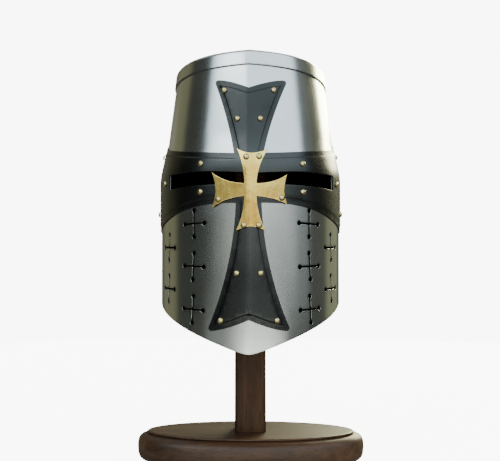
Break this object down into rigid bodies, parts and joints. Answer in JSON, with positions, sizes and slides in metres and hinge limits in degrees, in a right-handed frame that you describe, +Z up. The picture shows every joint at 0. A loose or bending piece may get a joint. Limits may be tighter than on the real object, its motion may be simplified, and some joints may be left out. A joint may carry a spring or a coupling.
{
  "type": "great helm on a wooden display stand",
  "caption": "Flat-topped closed helm with a sight slot, pierced breaths, a riveted black cross and a small brass cross, standing on an oval wooden base with a square post.",
  "frame": {"origin": "on the stand's flat underside, under the middle of the whole object's box", "axes": "+Z up, the helm's face looks along -Y, +X to the right as seen by someone facing the helm"},
  "size_m": [0.278, 0.261, 0.487],
  "materials": {
    "steel": "satin polished steel",
    "black_steel": "blackened steel, semi-gloss",
    "brass": "brushed brass",
    "rivet_brass": "pale polished brass",
    "stained_wood": "dark stained hardwood, satin lacquer"
  },
  "bodies": {
    "root": {"front_plate": "steel", "back_plate": "steel", "crown_cap": "steel", "black_cross": "black_steel", "brass_cross": "brass", "stand_base": "stained_wood", "stand_post": "stained_wood", "stand_head": "stained_wood", "rivet_band_upper_left": "rivet_brass", "rivet_band_upper_right": "rivet_brass", "rivet_band_lower_left": "rivet_brass", "rivet_band_lower_right": "rivet_brass", "rivet_end_middle_left": "rivet_brass", "rivet_end_middle_right": "rivet_brass", "rivet_end_upper_left": "rivet_brass", "rivet_end_upper_right": "rivet_brass", "rivet_end_lower_left": "rivet_brass", "rivet_end_lower_right": "rivet_brass", "rivet_top_inner_left": "rivet_brass", "rivet_top_inner_right": "rivet_brass", "rivet_top_outer_left": "rivet_brass", "rivet_top_outer_right": "rivet_brass", "rivet_foot_inner_left": "rivet_brass", "rivet_foot_inner_right": "rivet_brass", "rivet_foot_outer_left": "rivet_brass", "rivet_foot_outer_right": "rivet_brass", "rivet_brass_top_left": "rivet_brass", "rivet_brass_top_right": "rivet_brass", "rivet_brass_foot_left": "rivet_brass", "rivet_brass_foot_right": "rivet_brass", "rivet_brass_arm_left": "rivet_brass", "rivet_brass_arm_right": "rivet_brass", "rivet_lap_1_left": "rivet_brass", "rivet_lap_1_right": "rivet_brass", "rivet_lap_2_left": "rivet_brass", "rivet_lap_2_right": "rivet_brass", "rivet_lap_3_left": "rivet_brass", "rivet_lap_3_right": "rivet_brass", "rivet_lap_4_left": "rivet_brass", "rivet_lap_4_right": "rivet_brass"}
  },
  "joints": []
}
